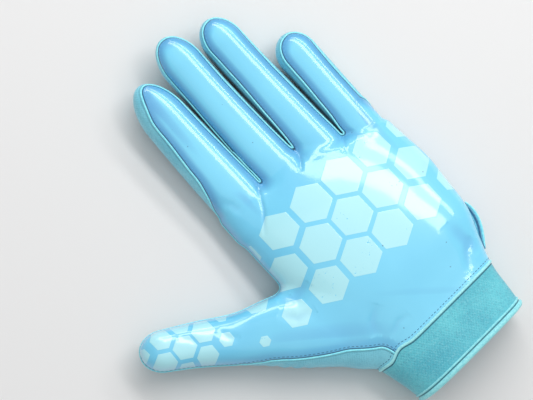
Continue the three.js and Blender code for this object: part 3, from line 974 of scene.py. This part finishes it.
def palm_paint():
    paint = Paint("palm_silicone", Roughness=0.34, Coat_Weight=1.0, Coat_Roughness=0.09, Coat_IOR=1.55)
    cloudy = paint.noise(16.0, 3.0)
    base = paint.mix(cloudy.ramp(0.3, 0.7), srgb(110, 208, 246), srgb(124, 220, 253))
    # The print lies on the upper side and is worn through in spots.
    front = paint.z.ramp(14.0, 16.0)
    wear = paint.noise(620.0, 4.0, 0.6).ramp(0.68, 0.63)
    worn = paint.noise(55.0, 2.0).ramp(0.60, 0.56).max(wear)
    mask = hexagons(paint, **PALM_PRINT).max(hexagons(paint, **THUMB_PRINT)) * front * worn
    base = paint.mix(mask * 0.92, base, PRINT_COLOUR)
    specks = paint.cells(105.0).ramp(0.055, 0.03) * paint.noise(20.0, 1.0).ramp(0.56, 0.6)
    base = paint.mix(specks * 0.6, base, SPECK_COLOUR)
    # Painted shade: deeper blue along the edge, most of all on the fingers' flanks
    seam = paint.attribute("seam")
    on_fingers = paint.y.ramp(108.0, 140.0)
    shade = seam.ramp(10.5, 0.2) * (on_fingers * 0.36 + 0.4)
    base = paint.mix(shade, base, PALM_EDGE_PAINTED_SHADE)
    # Painted shade in the folds, darker where a fold is deeper
    base = paint.mix(paint.attribute("fold").ramp(0.15, 1.1) * 0.45, base, PALM_FOLD_PAINTED_SHADE)
    # Painted shade: a dark line in the groove along the edge
    groove = (seam - 0.15).abs().ramp(0.65, 0.32)
    base = paint.mix(groove * 0.82, base, PALM_GROOVE_PAINTED_SHADE)
    paint.colour(base)
    # Puckers next to the seams, slow waves everywhere, and the thickness of the print
    near = seam.ramp(2.4, 0.8).max(paint.attribute("wrist").ramp(6.0, 1.0))
    paint.bump(paint.noise(210.0, 1.0) * near, 0.0009, 0.16, coat=True)
    paint.bump(paint.noise(26.0, 2.0), 0.0009, 0.16, coat=True)
    paint.bump(mask, 0.00008, 0.5, coat=True)
    return paint.material


def knit_paint(name, dark, light, nap, seam_key="seam", rib=1.1, groove_at=-1.25, groove_shade_amount=0.25):
    paint = Paint(name, Roughness=0.62, Sheen_Weight=0.3, Sheen_Roughness=0.4)
    base = paint.mix(paint.noise(45.0, 4.0).ramp(0.3, 0.7), dark, light)
    fine = paint.noise(1300.0, 3.0, 0.7)
    base = paint.mix(fine.ramp(0.45, 0.72) * nap, base, NAP_LIGHT)
    base = paint.mix(paint.noise(700.0, 3.0, 0.7).ramp(0.52, 0.36) * nap, base, NAP_DARK)
    # Painted shade: a dark line in the groove beside the seam
    groove = (paint.attribute(seam_key) - groove_at).abs().ramp(0.5, 0.2)
    base = paint.mix(groove * groove_shade_amount, base, KNIT_GROOVE_PAINTED_SHADE)
    # Painted shade deep in the slits between the fingers, darker where the next finger is closer
    deep = paint.attribute("gap").ramp(2.8, 0.7)
    base = paint.mix(deep * 0.92, base, SLIT_PAINTED_SHADE)
    paint.colour(base)
    wale = (paint.x * (2 * math.pi / rib)).sine() * (paint.y * (2 * math.pi / (rib * 1.3))).sine()
    paint.bump(wale, 0.00012, 0.45)
    paint.bump(fine, 0.0003, 0.7)
    return paint.material


def trim_paint(name, colour, shade, rough=0.5, groove_at=None):
    paint = Paint(name, Roughness=rough, Sheen_Weight=0.2)
    base = paint.mix(paint.noise(900.0, 2.0).ramp(0.35, 0.7), colour, shade)
    if groove_at is not None:
        # Painted shade: a dark line in the hem's groove
        drawn = paint.z.ramp(MOUTH_DRAW_TOP, MOUTH_DRAW_BOTTOM) * MOUTH_DRAW
        along = paint.y - paint.x * CUFF_SKEW - drawn
        base = paint.mix((along - groove_at).abs().ramp(0.5, 0.22) * 0.9, base, HEM_GROOVE_PAINTED_SHADE)
    paint.colour(base)
    paint.bump(paint.noise(1800.0, 2.0), 0.0002, 0.5)
    return paint.material


palm_material = palm_paint()
side_material = knit_paint("side_knit", srgb(120, 208, 232), srgb(138, 222, 242), nap=0.12)
back_material = knit_paint("back_knit", srgb(100, 188, 210), srgb(124, 206, 222), nap=0.25,
                           seam_key="back")
cuff_material = knit_paint("cuff_knit", srgb(78, 182, 202), srgb(100, 204, 218), nap=0.3,
                           seam_key="wrist", rib=1.6, groove_at=-1.35, groove_shade_amount=0.85)
hem_material = trim_paint("hem_binding", srgb(158, 240, 246), srgb(134, 222, 234), groove_at=2.95)
trim_material = trim_paint("light_trim", srgb(172, 246, 250), srgb(150, 232, 242))
edge_material = trim_paint("palm_fold", srgb(150, 246, 255), srgb(130, 232, 252), rough=0.35)
dark_thread_material = trim_paint("dark_thread", srgb(44, 104, 144), srgb(60, 124, 160))
faint_thread_material = trim_paint("faint_thread", srgb(96, 178, 222), srgb(108, 190, 230))
tab_material = trim_paint("tab_cloth", srgb(118, 206, 230), srgb(96, 184, 214))


# The panels, cut from one skin along the seams

def part(mesh, value):
    return clip(*mesh, value(mesh[0]))


def without(mesh, value):
    return clip(*mesh, -value(mesh[0]))


def inward_of_thumb(p):
    return thumb_place(p)[1]


skin = build_shell()
cuff = part(without(skin, cuff_seam), mouth)
hand = part(skin, cuff_seam)
palm = part(hand, palm_seam)
below = without(hand, palm_seam)
back = without(below, back_seam)
sides = part(below, back_seam)
gusset = without(sides, inward_of_thumb)
finger_sides = part(sides, inward_of_thumb)
thumb_strip = part(finger_sides, lambda p: tip_x(0) - p[:, 0])
little_strip = part(finger_sides, lambda p: p[:, 0] - tip_x(3))

pieces = [
    ("palm_panel_skin", palm, SHELL, palm_material, "palm", "palm_panel"),
    ("back_panel_skin", back, SHELL, back_material, "back_cloth", "back_panel"),
    ("thumb_gusset_skin", gusset, SHELL, side_material, "side_cloth", "thumb_gusset"),
    ("thumb_index_skin", thumb_strip, SHELL, side_material, "side_cloth", "fourchette_thumb_index"),
    ("little_side_skin", little_strip, SHELL, side_material, "side_cloth", "side_strip_little"),
    ("cuff_skin", cuff, CUFF_SHELL, cuff_material, "cuff_cloth", "cuff"),
]
for i, name in enumerate(("index_middle", "middle_ring", "ring_little")):
    strip = part(part(finger_sides, lambda p: p[:, 0] - tip_x(i)), lambda p: tip_x(i + 1) - p[:, 0])
    pieces.append((name + "_skin", strip, SHELL, side_material, "side_cloth", "fourchette_" + name))

for name, mesh, thickness, material, slot, node in pieces:
    piece = cloth(name, *mesh, thickness, material)
    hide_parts(node)


# What is sewn along the seams

# The bound edge's section: along the hand and outward
HEM = [
    (-2.2, -1.9), (-2.5, -0.9), (-2.4, 0.1), (-1.9, 0.85), (-1.1, 1.1), (-0.2, 0.95), (0.3, 0.05),
    (0.7, 0.0), (1.1, 0.55), (1.5, 0.6), (1.85, 0.25), (1.95, -0.2), (1.9, -2.2),
]


def seam_distance(mesh, value):
    return surface_distance(value, mesh[0], surface_normal(mesh[0]))


def along_seam(name, mesh, distance, offset, profile, material):
    parts = [sweep(resample(p, c, WELT_STEP), c, profile) for p, c in isolines(*mesh, distance - offset)]
    piece = make_object(name, *joined(parts), material)
    return piece


def stitches(name, mesh, distance, offset, material, pitch, length, thick):
    parts = [stitch_run(p, c, pitch, length, thick) for p, c in isolines(*mesh, distance - offset)]
    piece = make_object(name, *joined(parts), material)


palm_edge = seam_distance(hand, palm_seam)
back_edge = seam_distance(hand, back_seam)
wrist_line = seam_distance(skin, cuff_seam)
mouth_line = seam_distance(skin, mouth)
thumb_half = without(palm, inward_of_thumb)
finger_half = part(part(palm, inward_of_thumb), lambda p: p[:, 1] - FINE_STITCHES_FROM)

along_seam("palm_edge_welt", hand, palm_edge, -0.55, ring_profile(0.5, 0.55, 0.1), edge_material)
along_seam("back_edge_welt", hand, back_edge, 0.0, ring_profile(0.45, 0.4, 0.15), back_material)
stitches("palm_edge_stitches", finger_half, seam_distance(finger_half, palm_seam), 1.5,
         faint_thread_material, pitch=2.0, length=1.2, thick=0.16)
stitches("gusset_stitches", thumb_half, seam_distance(thumb_half, palm_seam), 1.5,
         dark_thread_material, pitch=2.2, length=1.4, thick=0.2)
hem = along_seam("hem", skin, mouth_line, 2.4, HEM, hem_material)
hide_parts("cuff_binding")
welt = along_seam("wrist_welt", skin, wrist_line, -0.25, ring_profile(0.8, 0.75, 0.0), trim_material)
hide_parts("cuff_seam")
stitches("wrist_stitches", skin, wrist_line, 1.7, dark_thread_material, pitch=2.0, length=1.3, thick=0.2)


# The folded tab in the edge of the palm next to the wrist: two plies, one a little shorter than the other

TAB_FROM, TAB_TO, TAB_HEIGHT, TAB_PROUD = 34.8, 60.0, 17.0, 3.4
TAB_PLIES = [(TAB_PROUD, TAB_HEIGHT, 0.9), (TAB_PROUD + 0.7, TAB_HEIGHT - 2.0, 0.8)]
TAB_STATIONS, TAB_SIDES = 36, 16
TAB_LEAST, TAB_ROOT = 0.2, 2.5
RIGHT_COLUMN = 2
TAB_LINE_POINTS, TAB_LINE_LEAST = 60, 0.15
# The raised rim of a ply: where across it, half how wide, and how much thicker
RIM_AT, RIM_WIDTH, RIM_RISE = 0.75, 0.22, 0.35


def tab_edge(height, share):
    """Points along the edge of the palm, and the way out of it."""
    y = TAB_FROM + (TAB_TO - TAB_FROM) * share
    right = smooth_table(BODY_ROWS, RIGHT_COLUMN, y)
    edge = project(glove_field, np.stack([right, y, np.full_like(y, height)], axis=1), 3)
    _, normal, _ = frames_along(edge, False)
    return edge, unit(normal * [1, 1, 0])


def tab_reach(share, proud):
    return proud * np.sin(math.pi * share**1.2) ** 0.7 + TAB_LEAST


def tab_ply(proud, height, thick):
    share = np.linspace(0.01, 0.99, TAB_STATIONS)
    edge, out = tab_edge(height, share)
    reach = tab_reach(share, proud)
    full = thick * (0.35 + 0.65 * np.sin(math.pi * share) ** 0.4)
    turns = 2 * math.pi * (np.arange(TAB_SIDES) + 0.5) / TAB_SIDES
    wide, up = np.cos(turns), np.sign(np.sin(turns)) * np.abs(np.sin(turns)) ** 0.7
    rim = 1 + RIM_RISE * np.exp(-(((wide - RIM_AT) / RIM_WIDTH) ** 2))
    centre = edge + out * ((reach - TAB_ROOT) / 2)[:, None]
    rings = centre[:, None] + out[:, None] * (wide[None] * ((reach + TAB_ROOT) / 2)[:, None])[..., None]
    rings[..., 2] += full[:, None] * (up * rim)[None]
    return rings.reshape(-1, 3), tube_faces(TAB_STATIONS, TAB_SIDES)


def tab_line(inset, height):
    share = np.linspace(0.02, 0.98, TAB_LINE_POINTS)
    edge, out = tab_edge(TAB_HEIGHT, share)
    reach = tab_reach(share, TAB_PROUD) - inset
    line = edge + out * np.maximum(reach, TAB_LINE_LEAST)[:, None]
    line[:, 2] = TAB_HEIGHT + height
    return line


tab = make_object("side_tab_skin", *joined([tab_ply(*ply) for ply in TAB_PLIES]), tab_material)
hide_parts("side_tab")

for name, line, size, material in (
        ("side_tab_rim", tab_line(0.3, 0.6), 0.6, edge_material),
        ("side_tab_stitching", tab_line(1.9, 1.1), 0.55, dark_thread_material)):
    rim = make_object(name, *sweep(line, False, ring_profile(size, size, 0.0)), material)


# Floor, light and camera, in metres

FLOOR_HALF_SIZE = 6.0
FLOOR_Z = -0.0002
# The tubes: angle from straight above, width and power. Both have the distance, middle and length below.
TUBES = [(29, 0.21, 7.4), (47, 0.12, 4.2)]
TUBE_DISTANCE, TUBE_Y, TUBE_LENGTH = 1.1, 0.69, 1.82
FILL_AT, FILL_SIZE, FILL_POWER = (0.1, 0.0, 1.5), (1.6, 1.6), 3.1
WORLD_STRENGTH = 0.48


def add_floor(size, z, colour):
    mesh = bpy.data.meshes.new("floor")
    corners = [(-size, -size, z), (size, -size, z), (size, size, z), (-size, size, z)]
    mesh.from_pydata(corners, [], [(0, 1, 2, 3)])
    obj = bpy.data.objects.new("floor", mesh)
    bpy.context.scene.collection.objects.link(obj)
    mesh.materials.append(Paint("floor", Base_Color=colour, Roughness=0.9).material)


def area_light(name, at, look, size, power):
    data = bpy.data.lights.new(name, "AREA")
    data.shape = "RECTANGLE"
    data.size, data.size_y = size
    data.energy = power
    obj = bpy.data.objects.new(name, data)
    bpy.context.scene.collection.objects.link(obj)
    obj.location = at
    direction = Vector(look) - Vector(at)
    obj.rotation_euler = direction.to_track_quat("-Z", "Y").to_euler()


add_floor(FLOOR_HALF_SIZE, FLOOR_Z, srgb(233, 233, 233))

# Two long tubes beside the hand give the double streaks along the fingers.
for i, (angle, width, power) in enumerate(TUBES):
    turn = math.radians(angle)
    at = (TUBE_DISTANCE * math.sin(turn), TUBE_Y, TUBE_DISTANCE * math.cos(turn))
    area_light(f"tube_{i}", at, (0, TUBE_Y, 0), (TUBE_LENGTH, width), power)
area_light("fill", FILL_AT, (0, 0, 0), FILL_SIZE, FILL_POWER)

world = bpy.data.worlds.new("studio")
world.use_nodes = True
background = world.node_tree.nodes["Background"]
background.inputs["Color"].default_value = (1, 1, 1, 1)
background.inputs["Strength"].default_value = WORLD_STRENGTH
bpy.context.scene.world = world
bpy.context.scene.view_settings.view_transform = "Standard"

# The camera looks down at the palm from the thumb's side, turned so that the fingers point up and left.
CAMERA_TILT = math.radians(11)
CAMERA_ROLL = math.radians(48.5)
CAMERA_DISTANCE = 3.0
CAMERA_AIM_Z = 12.0
SENSOR_WIDTH = 36.0
# Millimetres a pixel, the picture's size, how far the glove is lifted in it, and the cuff's mouth
PIXEL = 0.5
PICTURE = (533, 400)
LIFT = 1.0
MOUTH_PIXEL = (467, 347)
MOUTH_Y = 4.9


def plan_of(px, py):
    """The place on the hand, in millimetres, that a point of the picture shows."""
    dx, dy = (px - MOUTH_PIXEL[0]) * PIXEL, (py - MOUTH_PIXEL[1]) * PIXEL
    x = math.sin(CAMERA_ROLL) * dx - math.cos(CAMERA_ROLL) * dy
    y = -math.cos(CAMERA_ROLL) * dx - math.sin(CAMERA_ROLL) * dy
    return (x - math.sin(CAMERA_TILT) * CAMERA_AIM_Z) / math.cos(CAMERA_TILT), y + MOUTH_Y


aim_x, aim_y = plan_of(PICTURE[0] / 2, PICTURE[1] / 2 + LIFT)
target = Vector(to_scene(np.array([aim_x, aim_y, CAMERA_AIM_Z])))
back_axis = Vector((-math.sin(CAMERA_TILT), 0, math.cos(CAMERA_TILT)))
hand_axis = Vector((0, 1, 0))
cross_axis = hand_axis.cross(back_axis)
right = cross_axis * math.sin(CAMERA_ROLL) - hand_axis * math.cos(CAMERA_ROLL)
up = back_axis.cross(right)
camera_data = bpy.data.cameras.new("camera")
camera_data.sensor_fit = "HORIZONTAL"
camera_data.sensor_width = SENSOR_WIDTH
camera_data.lens = SENSOR_WIDTH * CAMERA_DISTANCE / (PICTURE[0] * PIXEL * MM)
camera = bpy.data.objects.new("camera", camera_data)
bpy.context.scene.collection.objects.link(camera)
turned = Matrix((right, up, back_axis)).transposed()
camera.matrix_world = Matrix.Translation(target + back_axis * CAMERA_DISTANCE) @ turned.to_4x4()
bpy.context.scene.camera = camera
